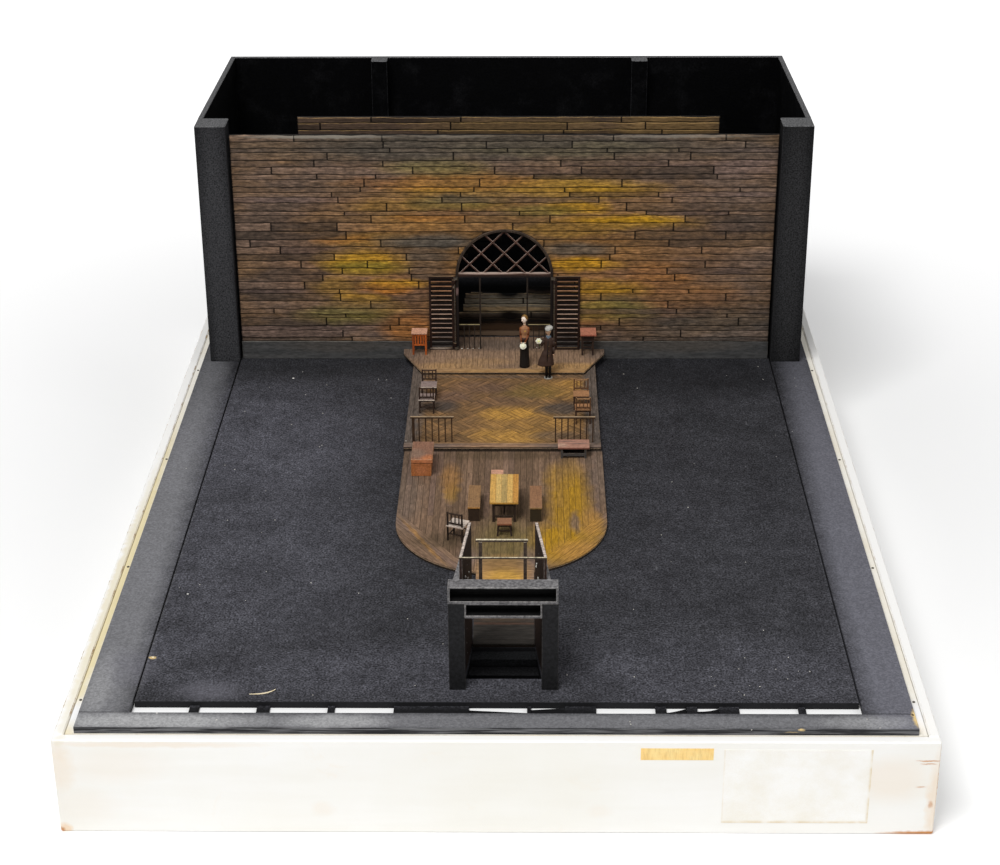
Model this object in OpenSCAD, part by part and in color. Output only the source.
// Theatre set model: a 1:24 stage set on a shallow painted crate.
// Millimetres, +Z up, the audience side faces -Y. Inside the modules y is measured back from the
// crate's front face, and in_frame() shifts the finished node so that the origin is the middle of
// the model's footprint.

/* [Crate] */
// Width of the crate over its sides
crate_w = 762; // [600:1:900]
// Depth of the crate, front face to back face
crate_d = 1100; // [900:1:1300]
// Height of the crate's rim boards
crate_h = 96; // [60:1:140]
// Thickness of the rim boards
rim_t = 9.5; // [6:0.5:16]
// Thickness of the crate's bottom panel and of the cream deck
panel_t = 6.4; // [4:0.2:10]
// Section of the square ledgers under the deck
ledger_s = 19; // [12:1:30]

/* [Black board] */
// Thickness of the black board
board_t = 6.5; // [4:0.5:10]
// Half width of the black board
board_half = 362.8; // [300:0.1:370]
// Half width of the central floor panel
floor_half = 317; // [280:0.5:340]
// Width of the side seams
seam = 1.6; // [0.8:0.1:4]
// Front edge of the board, from the crate's front face
board_y = 10.1; // [9.6:0.1:20]
// Front edge of the slot
slot_y = 33.6; // [25:0.1:45]
// Front-to-back width of the slot
slot_w = 16.6; // [8:0.1:25]

/* [Stage house] */
// Height of the house walls above the black board
house_h = 292.4; // [200:0.1:350]
// Front face of the two posts
post_y = 788; // [700:1:850]
// Outer half width over the posts
post_half = 353.2; // [320:0.1:360]
// Width of a post
post_w = 35.5; // [20:0.5:50]
// Depth of a post
post_d = 32; // [20:0.5:50]
// Thickness of the house walls
house_t = 6; // [3:0.5:10]
// Front face of the house's back wall
back_y = 1079; // [950:1:1084]
// How far each side wall leans in toward the back
toe_in = 3.7; // [0:0.1:8]

/* [Clad walls] */
// Front face of the front wall's carrier panel
wall_y = 799; // [792:0.5:810]
// Thickness of the carrier panels
wall_t = 3.2; // [2:0.1:6]
// Half width of the front wall
wall_half = 315.3; // [280:0.1:317]
// Height of the front wall above the board
wall_h = 278.8; // [220:0.1:292]
// Height of the dark plinth above the board
plinth_h = 22.6; // [10:0.1:40]
// Number of plank courses on the front wall
courses = 32; // [20:1:40]
// Open joint between planks
joint_gap = 0.8; // [0.2:0.1:1]
// Thinnest plank
plank_t = 1.6; // [1:0.1:3]
// Front face of the rear wall's carrier panel
rear_y = 868.4; // [840:0.1:900]
// Left end of the rear wall
rear_x0 = -244; // [-300:1:-100]
// Right end of the rear wall
rear_x1 = 253; // [100:1:300]

/* [Doorway] */
// Outer radius of the arch frame
arch_r = 57.6; // [40:0.1:80]
// Width of the arch frame
arch_w = 3.2; // [2:0.1:6]
// Height of the arch's centre above the board
arch_rise = 107.5; // [80:0.1:140]
// How far the arch frame stands forward of the carrier panel
arch_proud = 4.2; // [3:0.1:8]
// Thickness of the fanlight bars
lattice_w = 1.6; // [1:0.1:3]
// Height of the bay railings above the landing
bay_rail_h = 31.5; // [20:0.5:45]

/* [Shutters] */
// Width of a shutter
shutter_w = 29.4; // [20:0.1:30]
// Height of a shutter
shutter_h = 93.8; // [60:0.1:95]
// Thickness of a shutter
shutter_t = 2.4; // [1.6:0.1:3]
// Slats in a shutter
slats = 15; // [8:1:20]
// Radius of the hinge pins
pin_r = 0.5; // [0.4:0.05:0.8]
// Radial clearance of the knuckles on the pins
pin_clear = 0.05; // [0.02:0.01:0.1]

/* [Platforms] */
// Rise of each platform over the one in front of it
step_h = 4.2; // [3:0.1:8]
// Thickness of the planks and strips laid on the platforms
lay_t = 1.6; // [0.8:0.1:3]
// Width of a floor plank
floor_plank = 6.35; // [4:0.05:12]
// Radius of the thrust's round front
thrust_r = 107.5; // [80:0.5:130]
// Centre of the round front, from the crate's front face
thrust_y = 378; // [330:1:450]
// Front edge of the parquet platform
parquet_y = 538.6; // [500:0.1:600]
// Side of one parquet square
parquet_cell = 24; // [16:1:40]
// Strips in one parquet square
parquet_strips_n = 4; // [3:1:6]
// Front edge of the landing
landing_y = 731; // [700:1:760]
// Back edge of the floor that goes on through the doorway
sill_back = 834; // [810:1:860]

/* [Entrance bridge] */
// Front face of the bridge
bridge_y = 70; // [50:1:120]
// Height of the bridge's deck above the board
bridge_h = 104; // [70:1:130]
// Width of a bridge post
bridge_post = 14.4; // [8:0.1:20]
// Front-to-back depth of the posts and headers
bridge_d = 15; // [8:0.5:25]
// Thickness of the two splayed walls
bridge_wall = 2.7; // [1.5:0.1:5]
// Height of the guard rail above the deck
guard_h = 38.4; // [20:0.1:50]
// Rise of the dark steps
stair_rise = 8; // [5:0.5:12]
// Run of the dark steps
stair_run = 14; // [10:0.5:20]

/* [Build] */
// Node to build

/* [Hidden] */
$fn = 48;
card_t = 0.3;
board_z = crate_h + board_t;
thrust_z = board_z + step_h;
parquet_z = thrust_z + step_h;
landing_z = parquet_z + step_h;
deck_z = board_z + bridge_h;
arch_z = board_z + arch_rise;
wall_top = board_z + wall_h;
plank_seed = rands(0, 1, 900, 11);
thrust_x = 1;
tongue = [-22.4, 34];
tongue_y = 140.5;
tongue_back = 300;

// Box from its three ranges
module box(x, y, z) {
    translate([x[0], y[0], z[0]]) cube([x[1] - x[0], y[1] - y[0], z[1] - z[0]]);
}

// Shift from the crate's front edge to the middle of the footprint
module in_frame() {
    translate([0, -(crate_d - card_t) / 2, 0]) children();
}

// The shape and its mirror image across x = 0
module both_sides() {
    children();
    mirror([1, 0, 0]) children();
}

// Upright prism of a plan outline
module prism(points, z) {
    translate([0, 0, z[0]]) linear_extrude(z[1] - z[0]) polygon(points);
}

// Plate in the x-z plane, reaching back from y
module plate_xz(points, y, t) {
    translate([0, y + t, 0]) rotate([90, 0, 0]) linear_extrude(t) polygon(points);
}

// Crate

module crate_ends() in_frame() color("#e9e4d8") {
    box([-crate_w / 2, crate_w / 2], [0, rim_t], [0, crate_h]);
    box([-crate_w / 2, crate_w / 2], [crate_d - rim_t, crate_d], [0, crate_h]);
}

module crate_sides() in_frame() color("#e9e4d8") {
    both_sides() box([crate_w / 2 - rim_t, crate_w / 2], [rim_t, crate_d - rim_t], [0, crate_h]);
}

module crate_bottom() in_frame() color("#d8cfba") {
    half = crate_w / 2 - rim_t;
    box([-half, half], [rim_t, crate_d - rim_t], [0, panel_t]);
}

module crate_ledgers() in_frame() color("#cdb98f") {
    half = crate_w / 2 - rim_t;
    z = [crate_h - panel_t - ledger_s, crate_h - panel_t];
    butt = 0.2;
    both_sides() box([half - ledger_s, half], [rim_t, crate_d - rim_t], z);
    for (y = [rim_t, crate_d - rim_t - ledger_s])
        box([ledger_s - half + butt, half - ledger_s - butt], [y, y + ledger_s], z);
}

nail_x = 367;
nail_r = 0.6;
nail_ys = [for (k = [0:4]) 62 + k * 238];

// One nail, standing with its head on z = 0
module nail() {
    translate([0, 0, 0.2 - panel_t]) cylinder(r = nail_r, h = panel_t);
    cylinder(r = 1.3, h = 0.5);
}

module deck_nails() in_frame() color("#8b8578") {
    both_sides() for (y = nail_ys) translate([nail_x, y, crate_h]) nail();
}

// Inner outline of the step well, which narrows toward the back
function well(grow = 0) = [
    [-28.4 - grow, 88.5 - grow], [41.2 + grow, 88.5 - grow],
    [35 + grow, tongue_y + grow], [-23.2 - grow, tongue_y + grow]
];
well_t = 2.4;

module deck() in_frame() color("#e6decb") {
    half = crate_w / 2 - rim_t - 1.2;
    z = [crate_h - panel_t, crate_h];
    difference() {
        box([-half, half], [board_y, crate_d - board_y], z);
        prism(well(well_t), [z[0] - 1, z[1] + 1]);
        both_sides() for (y = nail_ys)
            translate([nail_x, y, z[0] - 1]) cylinder(r = nail_r + 0.02, h = panel_t + 2);
    }
}

module board_front() in_frame() color("#22242a") {
    box([-board_half, board_half], [board_y, slot_y], [crate_h, board_z]);
}

module board_sides() in_frame() color("#22242a") {
    both_sides() box([floor_half + seam, board_half], [slot_y, crate_d - board_y], [crate_h, board_z]);
}

module stage_floor() in_frame() color("#26282e") {
    difference() {
        box([-floor_half, floor_half], [slot_y + slot_w, crate_d - board_y], [crate_h, board_z]);
        prism(well(), [crate_h - 1, board_z + 1]);
    }
}

// Low blocks across the slot: [middle, width] of each
slot_bars = [
    [-264, 8.4], [-203.5, 11.4], [-144, 6.1], [-56.4, 65.7], [29, 3.5],
    [74, 27], [144, 9.6], [171.2, 9.2], [203.6, 17.2], [267, 6.4]
];

slot_bar_h = 2.5;

// Slanting blocks between them: left end, height there, right end, height there
slot_wedges = [[-24, 1.6, 27.6, 0.1], [30.4, 0.9, 61, 2.3]];

module slot_blocks() in_frame() color("#1c1d21") {
    for (bar = slot_bars)
        box([bar[0] - bar[1] / 2, bar[0] + bar[1] / 2], [slot_y, slot_y + slot_w],
            [crate_h, crate_h + slot_bar_h]);
    for (w = slot_wedges)
        translate([0, 0, crate_h])
            plate_xz([[w[0], 0], [w[2], 0], [w[2], w[3]], [w[0], w[1]]], slot_y, slot_w);
}

// Stage house

house_z = [board_z, board_z + house_h];

// Side wall on the right, leaning in toward the back
module house_side() {
    y0 = post_y + post_d;
    prism([
        [post_half - house_t, y0], [post_half, y0],
        [post_half - toe_in, back_y], [post_half - toe_in - house_t, back_y]
    ], house_z);
}

module house_side_left() in_frame() color("#17181b") mirror([1, 0, 0]) house_side();

module house_side_right() in_frame() color("#17181b") house_side();

module house_back() in_frame() color("#17181b") {
    half = post_half - toe_in;
    box([-half, half], [back_y, back_y + house_t], house_z);
}

module house_posts() in_frame() color("#1d1f24") {
    both_sides() box([post_half - post_w, post_half], [post_y, post_y + post_d], house_z);
}

batten_x = [-170, 158];
batten_w = 20;
batten_d = 18;

module back_battens() in_frame() color("#2a2c31") {
    for (x = batten_x) box([x, x + batten_w], [back_y - batten_d, back_y], house_z);
}

// Clad walls

function total(v, n) = n < 0 ? 0 : v[n] + total(v, n - 1);

// Heights of n courses that fill a height, each its own, from the random list at s
function course_heights(n, height, s) =
    let (raw = [for (i = [0:n - 1]) 0.62 + 0.76 * plank_seed[s + i]], k = height / total(raw, n - 1))
    [for (r = raw) r * k];

// Where plank j of a course starts, from the left end of the wall
function plank_start(s, j) = j == 0 ? 0 : plank_start(s, j - 1) + 62 + 150 * plank_seed[(s + 37 * j) % 900];

// Courses of planks over a width, from x0 and z0, with their backs on y
module cladding(x0, width, z0, height, n, y, s) {
    h = course_heights(n, height, s);
    shortest = 34;
    for (i = [0:n - 1]) {
        z = z0 + total(h, i - 1);
        lead = 55 * plank_seed[s + 40 + i];
        for (j = [0:10]) {
            a = max(0, plank_start(s + 11 * i, j) - lead);
            b = plank_start(s + 11 * i, j + 1) - lead;
            end = b > width - shortest ? width : b;
            t = plank_t + 0.5 * plank_seed[(s + 19 * i + 7 * j) % 900];
            if (a < width - shortest && end > a)
                box([x0 + a + joint_gap / 2, x0 + end - joint_gap / 2], [y - t, y],
                    [z + joint_gap / 2, z + h[i] - joint_gap / 2]);
        }
    }
}

// Doorway through the front wall: jambs below, half round above
module doorway(r, y, foot = landing_z) {
    box([-r, r], y, [foot, arch_z]);
    translate([0, y[1], arch_z]) rotate([90, 0, 0]) cylinder(r = r, h = y[1] - y[0], $fn = 96);
}

module wall_panel() in_frame() color("#3a2c22") {
    difference() {
        box([-wall_half, wall_half], [wall_y, wall_y + wall_t], [board_z, wall_top]);
        doorway(arch_r, [wall_y - 1, wall_y + wall_t + 1], landing_z - lay_t);
    }
}

module wall_planks() in_frame() color("#6b4e2c") {
    difference() {
        cladding(-wall_half, 2 * wall_half, board_z + plinth_h, wall_h - plinth_h, courses, wall_y, 0);
        doorway(arch_r, [wall_y - 5, wall_y + 1]);
    }
}

module wall_plinth() in_frame() color("#33363b") {
    difference() {
        box([-wall_half, wall_half], [wall_y - 2.2, wall_y], [board_z, board_z + plinth_h]);
        doorway(arch_r, [wall_y - 5, wall_y + 1], landing_z - lay_t);
    }
}

strut_x = [-200, 190];
strut_z = [150, 320];
strut_s = 12;

module wall_struts() in_frame() color("#1f1a16") {
    for (x = strut_x, z = strut_z)
        box([x, x + strut_s], [wall_y + wall_t, rear_y], [z, z + strut_s]);
}

// Ragged hole in the rear wall, seen through the doorway
hole = [
    [-70, 128], [-62, 122], [-52.5, 131], [-48, 157], [-40, 160], [-9, 158], [0, 154.4], [18, 154.4],
    [28, 159.6], [55, 161], [66, 165], [69, 190], [62, 210], [38, 215], [24, 227], [12, 240], [0, 239],
    [-10, 226], [-30, 220], [-44, 211], [-60, 204], [-67, 180]
];

module hole_cut(y) {
    plate_xz(hole, y[0], y[1] - y[0]);
}

module rear_wall_panel() in_frame() color("#2c231c") {
    difference() {
        box([rear_x0, rear_x1], [rear_y, rear_y + wall_t], [board_z, wall_top]);
        hole_cut([rear_y - 1, rear_y + wall_t + 1]);
    }
}

module rear_wall_planks() in_frame() color("#5b4630") {
    difference() {
        cladding(rear_x0, rear_x1 - rear_x0, board_z, wall_h, 35, rear_y, 300);
        hole_cut([rear_y - 5, rear_y + 1]);
        for (x = strut_x, z = strut_z)
            box([x - 0.3, x + strut_s + 0.3], [rear_y - 5, rear_y + 1], [z - 0.3, z + strut_s + 0.3]);
    }
}

// Doorway

arch_y = [wall_y - arch_proud, wall_y + wall_t];
arch_in = arch_r - arch_w;
transom_z = [arch_z - 2.6, arch_z + 2.7];
bay_y = [wall_y - 2, wall_y];
rod_x = [-29, 27];
rod_w = 1.8;

module arch_frame() in_frame() color("#30261f") {
    difference() {
        doorway(arch_r, arch_y);
        doorway(arch_in, [arch_y[0] - 1, arch_y[1] + 1]);
    }
}

// Bars at 45 degrees through points a quarter of the span apart, inside the arch, and the transom
module fanlight() in_frame() color("#3b2f26") {
    pitch = arch_in / 2;
    mid = wall_y - 1;
    box([-arch_in, arch_in], [wall_y - 2.6, wall_y + 1], transom_z);
    intersection() {
        translate([0, mid + lattice_w / 2, arch_z]) rotate([90, 0, 0])
            cylinder(r = arch_in, h = lattice_w, $fn = 96);
        box([-arch_in, arch_in], [mid - 3, mid + 3], [transom_z[1], arch_z + arch_in]);
        for (k = [-2:2], turn = [-45, 45])
            translate([k * pitch, mid, arch_z]) rotate([0, turn, 0])
                cube([lattice_w, lattice_w, 4 * arch_in], center = true);
    }
}

// Railing across a side bay, on the left
module bay_rail(from, to) {
    top = landing_z + bay_rail_h;
    box([from, to], bay_y, [top - 1.8, top]);
    for (k = [1:3]) {
        x = from + k * (to - from) / 4;
        box([x - 0.6, x + 0.6], [bay_y[0] + 0.4, bay_y[1] - 0.4], [landing_z, top - 1.8]);
    }
}

module bay_rails() in_frame() color("#2b231d") {
    for (x = rod_x) box([x - rod_w / 2, x + rod_w / 2], bay_y, [landing_z, transom_z[0]]);
    bay_rail(-arch_in, rod_x[0] - rod_w / 2);
    bay_rail(rod_x[1] + rod_w / 2, arch_in);
}

// Shutters

hinge_x = arch_r + 1.3;
hinge_y = wall_y - 6;
knuckle_r = 1.2;
shutter_z = landing_z + 0.4;
shutter_y = hinge_y + knuckle_r;
shutter_in = hinge_x + knuckle_r;
stile = 2.4;
knuckle_h = 5;
knuckle_zs = [shutter_z + 4, shutter_z + shutter_h - 4 - knuckle_h];

// Eye that holds a pin to the jamb, with its lower face on z = 0
module pin_eye() {
    difference() {
        box([hinge_x - 3.7, hinge_x + 1], [hinge_y - 1.1, wall_y - arch_proud], [0, 3]);
        translate([hinge_x, hinge_y, -1]) cylinder(r = pin_r, h = 5);
    }
}

module hinge_pin() {
    z0 = knuckle_zs[0] - 3.2;
    z1 = knuckle_zs[1] + knuckle_h + 0.2;
    translate([hinge_x, hinge_y, z0]) cylinder(r = pin_r, h = z1 + 3 - z0);
    for (z = [z0, z1]) translate([0, 0, z]) pin_eye();
}

module hinge_pins() in_frame() color("#3a3028") both_sides() hinge_pin();

// Frame of the right shutter, with its knuckles
module shutter_frame() {
    x = [shutter_in, shutter_in + shutter_w];
    y = [shutter_y, shutter_y + shutter_t];
    difference() {
        union() {
            difference() {
                box(x, y, [shutter_z, shutter_z + shutter_h]);
                box([x[0] + stile, x[1] - stile], [y[0] - 1, y[1] + 1],
                    [shutter_z + stile, shutter_z + shutter_h - stile]);
            }
            for (z = knuckle_zs) {
                box([hinge_x, x[0] + 1.4], [hinge_y + 0.2, shutter_y + 0.4], [z, z + knuckle_h]);
                translate([hinge_x, hinge_y, z]) cylinder(r = knuckle_r, h = knuckle_h);
            }
        }
        for (z = knuckle_zs)
            translate([hinge_x, hinge_y, z - 1]) cylinder(r = pin_r + pin_clear, h = knuckle_h + 2);
    }
}

// Slats of the right shutter, tilted to shed rain
module shutter_slats() {
    span = shutter_h - 2 * stile;
    pitch = span / slats;
    for (k = [0:slats - 1])
        translate([shutter_in + stile, shutter_y + shutter_t / 2, shutter_z + stile + (k + 0.5) * pitch])
            rotate([-25, 0, 0]) translate([0, -0.4, -1.8]) cube([shutter_w - 2 * stile, 0.8, 3.6]);
}

module shutter_left() in_frame() color("#35291f") mirror([1, 0, 0]) shutter_frame();

module shutter_left_slats() in_frame() color("#3d3025") mirror([1, 0, 0]) shutter_slats();

module shutter_right() in_frame() color("#35291f") shutter_frame();

module shutter_right_slats() in_frame() color("#3d3025") shutter_slats();

// Platforms

wall_face = wall_y - 2.2;

// Plan outline of the landing, drawn in by a margin at the front
function landing_plan(inset = 0) = [
    [-120.5, wall_face], [-120.5, 785.5], [-96.5, landing_y + inset], [94, landing_y + inset],
    [119, 785.5], [119, wall_face]
];

parquet_x = [-107.6, 107.5];
border = 2 * floor_plank;
parquet_back = landing_y + 2;

// Ends and edges of the floor behind the front wall
sill_x = [-70, 70];
sill_y = [wall_y + wall_t + 0.2, sill_back];

module landing_base() in_frame() color("#54401f") {
    prism(landing_plan(), [parquet_z, landing_z - lay_t]);
    box([parquet_x[0] + border + 0.1, parquet_x[1] - border - 0.1], [parquet_back, wall_face],
        [parquet_z - lay_t, parquet_z]);
    box(sill_x, sill_y, [board_z, landing_z - lay_t]);
}

module landing_planks() in_frame() color("#7a5a2c") {
    nosing = 9;
    z = [landing_z - lay_t, landing_z];
    intersection() {
        union() {
            prism(landing_plan(), z);
            box([0.1 - arch_r, arch_r - 0.1], [wall_face - 1, sill_back], z);
            box(sill_x, sill_y, z);
        }
        union() {
            box([-130, 130], [landing_y - 1, landing_y + nosing], z);
            for (k = [-20:19]) {
                x = k * floor_plank;
                box([x + 0.15, x + floor_plank - 0.15], [landing_y + nosing + 0.3, sill_back], z);
            }
        }
    }
}

module parquet_base() in_frame() color("#4a3a22") {
    box(parquet_x, [parquet_y, wall_face], [board_z, parquet_z - lay_t]);
}

// Strips of one parquet square, side by side along its own x
module parquet_square() {
    w = parquet_cell / parquet_strips_n;
    for (k = [0:parquet_strips_n - 1])
        translate([0.15 - parquet_cell / 2, k * w + 0.15 - parquet_cell / 2, 0])
            cube([parquet_cell - 0.3, w - 0.3, lay_t]);
}

// Squares turned 45 degrees, the grain turning from each to the next, inside a border of strips that
// runs on beneath the landing's slanted corners
module parquet_strips() in_frame() color("#8a672f") {
    x = [parquet_x[0] + border, parquet_x[1] - border];
    y = [parquet_y + border, parquet_back];
    z = [parquet_z - lay_t, parquet_z];
    centre = [2, 641];
    reach = 6;
    intersection() {
        box(x, y, z);
        for (i = [-reach:reach], j = [-reach:reach]) {
            u = (i - j) * parquet_cell * sqrt(0.5);
            v = (i + j) * parquet_cell * sqrt(0.5);
            if (abs(u) < 108 && abs(v) < 108)
                translate([centre[0] + u, centre[1] + v, z[0]])
                    rotate((i + j) % 2 == 0 ? 45 : -45) parquet_square();
        }
    }
    for (k = [0:1]) {
        a = k * floor_plank;
        box([parquet_x[0], parquet_x[1]], [parquet_y + a, parquet_y + a + floor_plank - 0.3], z);
        for (side = [parquet_x[0] + a, parquet_x[1] - a - floor_plank])
            box([side + 0.15, side + floor_plank - 0.15], [y[0] + 0.1, wall_face], z);
    }
}

// Plan of the thrust: straight sides and a half round front
module thrust_body(z) {
    translate([thrust_x, thrust_y, z[0]]) cylinder(r = thrust_r, h = z[1] - z[0], $fn = 120);
    box([thrust_x - thrust_r, thrust_x + thrust_r], [thrust_y, parquet_y], z);
}

module thrust_base() in_frame() color("#4a3a22") {
    z = [board_z, thrust_z - lay_t];
    thrust_body(z);
    box(tongue, [tongue_y + 0.5, thrust_y], z);
}

lay_z = [thrust_z - lay_t, thrust_z];
chord_turn = atan(1.5);
chord_at = [50, 305];
band_w = 6.4;

// Right-hand corner of the round front, in the chord band's own axes: x along it, y inward
module on_chord() {
    translate([thrust_x + chord_at[0], chord_at[1], lay_z[0]]) rotate(chord_turn) children();
}

// Everything outside the inner edge of the right-hand band
module corner_zone() {
    on_chord() translate([-90, -120, -1]) cube([240, 120 + band_w / 2 + 0.15, lay_t + 2]);
}

// Band and the planks outside it, along the chord
module corner_strips() {
    for (k = [0:7]) {
        y1 = band_w / 2 - k * band_w;
        on_chord() translate([-90, y1 - band_w + 0.3, 0]) cube([240, band_w - 0.3, lay_t]);
    }
}

module mirror_thrust() {
    children();
    translate([2 * thrust_x, 0, 0]) mirror([1, 0, 0]) children();
}

module thrust_planks() in_frame() color("#7d5f31") {
    clear = 0.3;
    difference() {
        union() {
            difference() {
                intersection() {
                    thrust_body(lay_z);
                    for (k = [-17:16]) {
                        x = thrust_x + k * floor_plank;
                        cut = 340 + 150 * plank_seed[500 + k + 17];
                        box([x + 0.15, x + floor_plank - 0.15], [250, cut], lay_z);
                        box([x + 0.15, x + floor_plank - 0.15], [cut + 0.4, parquet_y], lay_z);
                    }
                }
                mirror_thrust() corner_zone();
            }
            intersection() {
                thrust_body(lay_z);
                mirror_thrust() corner_strips();
            }
        }
        box([tongue[0] - clear, tongue[1] + clear], [200, tongue_back + clear], [thrust_z - 3, thrust_z + 1]);
    }
    rows = 21;
    pitch = (tongue_back - tongue_y) / rows;
    for (k = [0:rows - 1])
        box(tongue, [tongue_y + k * pitch, tongue_y + (k + 1) * pitch - clear], lay_z);
}

// Balustrade: top rail on square balusters from x0 to x1, the end one thick
module balustrade(x0, x1, n, end_w) {
    y = 551;
    top = parquet_z + 30.8;
    pitch = (x1 - x0 - 1.4) / (n - 1);
    box([x0 - 1.6, x1 + 1.6], [y - 1.3, y + 1.3], [top - 1.9, top]);
    for (k = [0:n - 1]) {
        w = k == 0 ? end_w : 1.4;
        x = x0 + k * pitch;
        box([x, x + w], [y - 0.8, y + 0.8], [parquet_z, top - 1.9]);
    }
}

module balustrades() in_frame() color("#33281f") {
    balustrade(-98.5, -54.4, 7, 3);
    balustrade(57.3, 99.4, 7, 1.4);
}

// Entrance bridge

post_left = [-41.4, -41.4 + bridge_post];
post_right = [40.2, 40.2 + bridge_post];
header_z = [deck_z - 30.7, deck_z - 16.4];
bridge_back = bridge_y + bridge_d;

module bridge_posts() in_frame() color("#1e2024") {
    for (x = [post_left, post_right]) box(x, [bridge_y, bridge_back], [board_z, header_z[1]]);
}

// Channel with an open front, its top and its sides thinner than its floor
module channel(x, z, top, side) {
    lip = 2.6;
    difference() {
        box(x, [bridge_y, bridge_back], z);
        box([x[0] + side, x[1] - side], [bridge_y - 1, bridge_back - 2], [z[0] + lip, z[1] - top]);
    }
}

module bridge_headers() in_frame() color("#3a3d43") {
    channel([post_left[0], post_right[1] - 0.4], [header_z[1], deck_z], 1.2, 1.8);
    channel([post_left[1], post_right[0]], [header_z[0], header_z[1]], 1, 1.2);
}

// Ends of each splayed wall's inner face, front to back
wall_back = 148;
left_face = [-28.9, -22.6];
right_face = [41.8, 34.2];

// Plan of a strip between two lines from the bridge's back to the walls' end
function splay(a, b) = [[a[0], bridge_back], [b[0], bridge_back], [b[1], wall_back], [a[1], wall_back]];

function shift(v, by) = [v[0] + by, v[1] + by];

cap_z = deck_z + 22;

module bridge_walls() in_frame() color("#26211e") {
    prism(splay(shift(left_face, -bridge_wall), left_face), [board_z, cap_z]);
    prism(splay(right_face, shift(right_face, bridge_wall)), [board_z, cap_z]);
}

module bridge_deck_strips() in_frame() color("#44484f") {
    z = [deck_z - 3, deck_z];
    left_wall = shift(left_face, -bridge_wall);
    right_wall = shift(right_face, bridge_wall);
    prism(splay([left_wall[0] - 5.6, left_wall[1] - 4.5], left_wall), z);
    prism(splay(right_wall, [right_wall[0] + 3.3, right_wall[1] + 4.1]), z);
}

module bridge_rails() in_frame() color("#6d6c68") {
    rod = 1.4;
    posts = [-14.6, 24.1];
    top = deck_z + guard_h;
    box([-17, 28], [bridge_back + 0.2, bridge_back + 2.6], [top - 2, top]);
    for (x = posts) box([x, x + 3], [bridge_back, bridge_back + 2.8], [header_z[1] + 3, top - 2]);
    box([left_face[0] - bridge_wall, right_face[0] + bridge_wall], [bridge_back - rod, bridge_back],
        [cap_z - rod, cap_z]);
}

// Lined well below the tongue, with three dark steps going down toward the front
module stair_well() in_frame() color("#141416") {
    treads = 3;
    bottom = board_z - 3 - (treads + 0.5) * stair_rise;
    difference() {
        prism(well(well_t), [bottom - 3, crate_h]);
        prism(well(), [bottom, crate_h + 1]);
    }
    for (k = [1:treads]) {
        top = thrust_z - k * stair_rise;
        intersection() {
            prism(well(-0.02), [bottom, thrust_z]);
            box([-60, 60], [tongue_y - k * stair_run, tongue_y - (k - 1) * stair_run - 0.02],
                [bottom + 0.02, top]);
        }
    }
}

// Furniture

// Put a piece of furniture with its base centre at x, y and z
module stand(x, y, z, turn = 0) {
    translate([x, y, z]) rotate(turn) children();
}

// Four legs of side s under a w by d plan, h high
module legs(w, d, h, s) {
    for (x = [-w / 2, w / 2 - s], y = [-d / 2, d / 2 - s]) translate([x, y, 0]) cube([s, s, h]);
}

// Plate centred in plan
module plate(w, d, z0, t) {
    translate([-w / 2, -d / 2, z0]) cube([w, d, t]);
}

// Chair facing its own +Y, its back at the -Y side
module chair() {
    w = 17;
    d = 16.5;
    seat = 16;
    leg = 1.5;
    top = 32;
    rung = 0.9;
    foot_rail = seat + 3.2;
    legs(w, d, seat, leg);
    plate(w + 1, d + 0.8, seat, 1.3);
    for (x = [-w / 2, w / 2 - leg]) translate([x, -d / 2, seat]) cube([leg, leg, top - seat]);
    for (z = [top - 2, foot_rail]) translate([-w / 2, -d / 2 + 0.2, z]) cube([w, 1.1, 1.5]);
    for (k = [1:3]) translate([-w / 2 + k * w / 4 - 0.1, -d / 2 + 0.3, foot_rail])
        cube([1, rung, top - foot_rail - 0.8]);
    for (x = [-w / 2 + 0.3, w / 2 - leg + 0.3]) translate([x, -d / 2, 5]) cube([rung, d, rung]);
    for (y = [d / 2 - leg + 0.3, -d / 2 + 0.3]) translate([-w / 2, y, 7.5]) cube([w, rung, rung]);
}

chair_color = "#4a3320";

module chair_left_far() in_frame() color(chair_color) stand(-85, 667, parquet_z, 180) chair();

module chair_left_near() in_frame() color(chair_color) stand(-86, 632.2, parquet_z) chair();

module chair_right_far() in_frame() color("#8a4f28") stand(88, 641.5, parquet_z, 180) chair();

module chair_right_near() in_frame() color("#8a4f28") stand(89.2, 605, parquet_z) chair();

module chair_askew() in_frame() color(chair_color) stand(-42, 340.5, thrust_z, -22) chair();

// Side table with a slatted apron under its front
module side_table_left() in_frame() color("#b8622a") stand(-101.3, 786, landing_z) {
    w = 17;
    h = 28.6;
    plate(w + 1.6, 15.6, h - 1.6, 1.6);
    legs(w, 13, h - 1.6, 2);
    rail = 11.6;
    for (z = [rail, h - 4.6]) translate([-w / 2, -6, z]) cube([w, 1.2, 2]);
    for (k = [1:4]) translate([-w / 2 + k * (w - 1.6) / 5, -6, rail]) cube([1.8, 1.1, h - rail - 2]);
    for (x = [-w / 2, w / 2 - 1.4]) translate([x, -6, rail]) cube([1.4, 12, 2]);
}

// Side table with a board under its top, stretchers, and legs set in from the edge
module side_table_right() in_frame() color("#a8654f") stand(98.9, 784.6, landing_z) {
    w = 14.6;
    d = 14;
    h = 28.4;
    leg = 2;
    translate([0.6, 0, 0]) plate(18.6, 22, h - 1.8, 1.8);
    legs(w, d, h - 1.8, leg);
    for (y = [-d / 2 + 0.4, d / 2 - 1.4]) {
        translate([-w / 2, y, h - 10]) cube([w, 1, 8.2]);
        translate([-w / 2, y, 9.4]) cube([w, 1, 1.8]);
    }
    for (x = [-w / 2, w / 2 - 1.2]) translate([x, -d / 2, 12]) cube([1.2, d, 1.4]);
}

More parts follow.
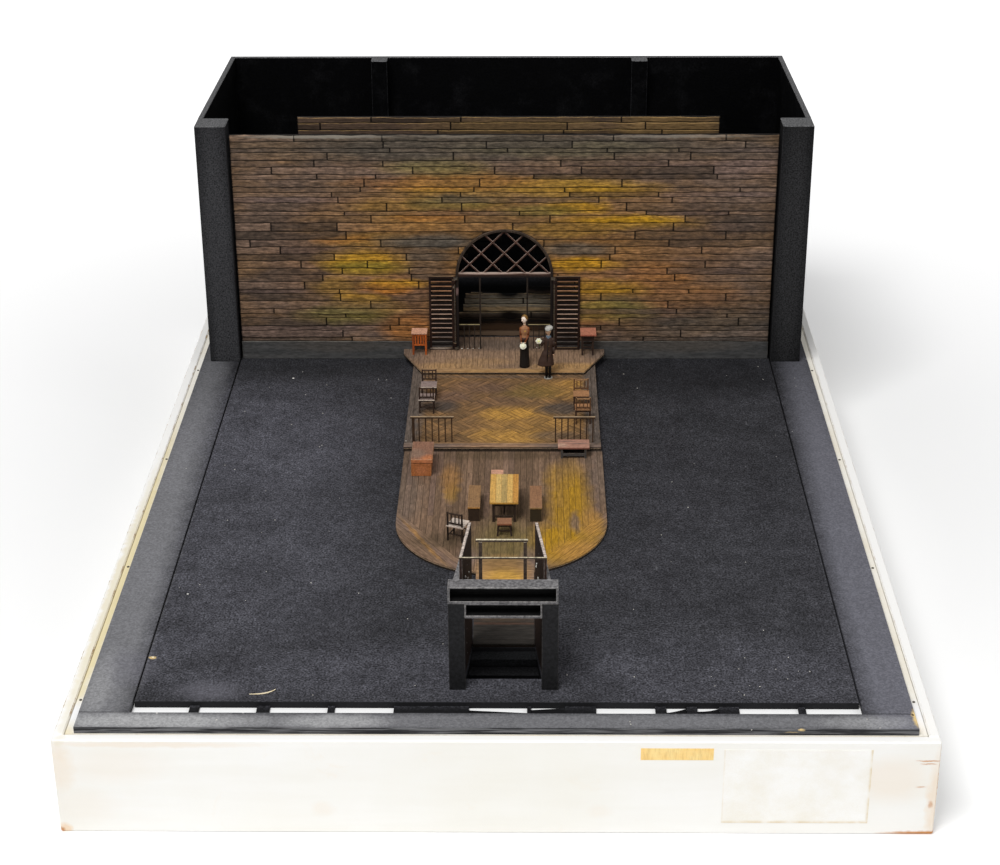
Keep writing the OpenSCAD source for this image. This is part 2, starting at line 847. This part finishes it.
module chest() in_frame() color("#a85a30") stand(-85.3, 498, thrust_z) {
    body_h = 15.8;
    lid_h = 4.4;
    plate(21.4, 42, 0, body_h);
    translate([0.7, 0, 0]) plate(22.8, 43.8, body_h, lid_h);
}

// Bench with board legs and a stretcher low down at its front and its back
module low_bench() in_frame() color("#a2695c") stand(77.3, 528.7, thrust_z) {
    h = 13.4;
    top_t = 1.8;
    leg = 2.2;
    span = 27.6;
    d = 18.2;
    plate(34, 20.4, h - top_t, top_t);
    for (x = [-span / 2, span / 2 - leg]) translate([x, -d / 2, 0]) cube([leg, d, h - top_t]);
    for (y = [-d / 2 + 0.3, d / 2 - 2.3]) translate([leg - span / 2 - 0.1, y, 2.4])
        cube([span - 2 * leg + 0.2, 2, 3.2]);
}

// Table of five boards
module dining_table() in_frame() color("#d8b56a") stand(3.8, 403.4, thrust_z) {
    w = 29;
    d = 63.4;
    h = 24;
    boards = 5;
    difference() {
        plate(w, d, h - 2, 2);
        for (k = [1:boards - 1])
            translate([-w / 2 + k * w / boards - 0.2, -d, h - 0.5]) cube([0.4, 2 * d, 1]);
    }
    legs(w - 5, d - 6, h - 2, 2.6);
    for (x = [-w / 2 + 3, w / 2 - 4.2]) translate([x, -d / 2 + 3, h - 6]) cube([1.2, d - 6, 4.1]);
    for (y = [-d / 2 + 3.4, d / 2 - 4.6]) translate([-w / 2 + 2.5, y, h - 6]) cube([w - 5, 1.2, 4.1]);
    translate([-0.8, -d / 2 + 3.5, 5]) cube([1.6, d - 7, 1.8]);
    for (y = [-d / 2 + 3.6, d / 2 - 5]) translate([-w / 2 + 2.5, y, 5]) cube([w - 5, 1.4, 1.8]);
}

// Bench with board ends
module table_bench() {
    w = 12.6;
    d = 49;
    h = 16.4;
    top_t = 1.8;
    end_t = 2;
    plate(w, d, h - top_t, top_t);
    for (y = [-d / 2 + 0.8, d / 2 - 0.8 - end_t]) translate([-w / 2 + 0.3, y, 0])
        cube([w - 0.6, end_t, h - top_t]);
    translate([-0.9, -d / 2 + end_t, h - 5.4]) cube([1.8, d - 2 * end_t, 3.6]);
}

module table_bench_left() in_frame() color("#a9743c") stand(-26.9, 400.2, thrust_z) table_bench();

module table_bench_right() in_frame() color("#8f6142") stand(36, 399.2, thrust_z) table_bench();

// Stool with splayed legs and cross stretchers
module stool(w, d, h, turn) {
    rotate(turn) plate(w, d, h - 1.6, 1.6);
    for (sx = [-1, 1], sy = [-1, 1]) rotate(turn)
        translate([sx * (w / 2 - 2), sy * (d / 2 - 2), h - 1.4]) rotate([sy * 6, -sx * 8, 0])
            translate([-0.8, -0.8, 1.8 - h]) cube([1.6, 1.6, h - 1.8]);
    rung = 1;
    for (sy = [-1, 1]) rotate(turn) translate([-w / 2 + 1, sy * (d / 2 - 1.4) - rung / 2, 5])
        cube([w - 2, rung, 1.2]);
    for (sx = [-1, 1]) rotate(turn) translate([sx * (w / 2 - 1.2) - rung / 2, -d / 2 + 1.2, 6.4])
        cube([rung, d - 2.4, 1.2]);
    foot = 1.8;
    for (sx = [-1, 1], sy = [-1, 1]) rotate(turn)
        translate([sx * (w / 2 - 0.4) - foot / 2, sy * (d / 2 - 0.8) - foot / 2, 0]) cube([foot, foot, 0.8]);
}

module stool_far() in_frame() color("#b98260") stand(-4.2, 456.5, thrust_z) stool(12.6, 12.6, 15, 0);

module stool_front() in_frame() color("#a0563a") stand(4.4, 350.8, thrust_z) stool(14.6, 12.8, 14.2, 0);

// Figures

// Standing woman, plain, holding a round tray in front of her
module woman_figure() in_frame() color("#8a4a2a") stand(23.8, 745, landing_z) {
    cylinder(r1 = 6.2, r2 = 5.2, h = 16);
    translate([0, 0, 16]) cylinder(r1 = 5.2, r2 = 3.4, h = 22);
    translate([0, 0, 38]) cylinder(r1 = 3.4, r2 = 4.6, h = 12);
    translate([0, 0, 49.2]) sphere(r = 4.4);
    for (s = [-1, 1]) translate([s * 4.4, -3.4, 37]) rotate([-12, -s * 4, 0]) cylinder(r = 1.3, h = 14);
    translate([0, 0, 52.5]) cylinder(r = 1.6, h = 6);
    translate([0, -0.4, 60.6]) sphere(r = 4);
    translate([0, 1.4, 62]) sphere(r = 4);
    translate([-1.6, -6.2, 26.5]) rotate([90, 0, 0]) cylinder(r = 3.4, h = 0.8);
    translate([-1.6, -5.6, 28]) rotate([-20, 0, 0]) cylinder(r = 1, h = 10);
}

// Standing man in a coat and a hat, on a small round base
module man_figure() in_frame() color("#4b3528") stand(51.6, 722.3, parquet_z) {
    cylinder(r = 5.2, h = 1);
    for (s = [-1, 1]) translate([s * 2.1, 0, 1]) cylinder(r = 1.7, h = 19);
    translate([-1.8, 0, 19]) cylinder(r1 = 8.4, r2 = 4.9, h = 19);
    translate([-0.9, 0, 37.6]) cylinder(r1 = 5.3, r2 = 5.4, h = 11);
    translate([0, 0, 48.1]) sphere(r = 5);
    translate([5.4, -0.4, 31]) rotate([-1, -3, 0]) cylinder(r = 1.5, h = 17);
    translate([0, 0, 52]) cylinder(r = 1.8, h = 5.5);
    translate([0, 0, 59.4]) sphere(r = 3.9);
    translate([0, 0, 61.4]) cylinder(r = 5.1, h = 0.9);
    translate([0, 0, 62.3]) cylinder(r1 = 3.7, r2 = 3.2, h = 4);
    translate([-3, -1, 47]) rotate([0, -98, 0]) cylinder(r = 1.4, h = 8.5);
    translate([-10.6, -0.6, 47]) rotate([90, 0, 0]) cylinder(r = 3, h = 0.9);
}

// Paper on the crate's front

module label_card() in_frame() color("#efeadf") box([196, 323], [-card_t, 0], [12, 88.2]);

module tape_strip() in_frame() color("#c99a5a") box([124.6, 187], [-0.2, 0], [77.4, 89.3]);

crate_ends();
crate_sides();
crate_bottom();
crate_ledgers();
deck_nails();
deck();
board_front();
board_sides();
stage_floor();
slot_blocks();
house_side_left();
house_side_right();
house_back();
house_posts();
back_battens();
wall_panel();
wall_planks();
wall_plinth();
wall_struts();
arch_frame();
fanlight();
bay_rails();
hinge_pins();
shutter_left();
shutter_left_slats();
shutter_right();
shutter_right_slats();
rear_wall_panel();
rear_wall_planks();
landing_base();
landing_planks();
parquet_base();
parquet_strips();
thrust_base();
thrust_planks();
balustrades();
bridge_posts();
bridge_headers();
bridge_walls();
bridge_deck_strips();
bridge_rails();
stair_well();
side_table_left();
side_table_right();
chair_left_far();
chair_left_near();
chair_right_far();
chair_right_near();
chair_askew();
chest();
low_bench();
dining_table();
table_bench_left();
table_bench_right();
stool_far();
stool_front();
woman_figure();
man_figure();
label_card();
tape_strip();
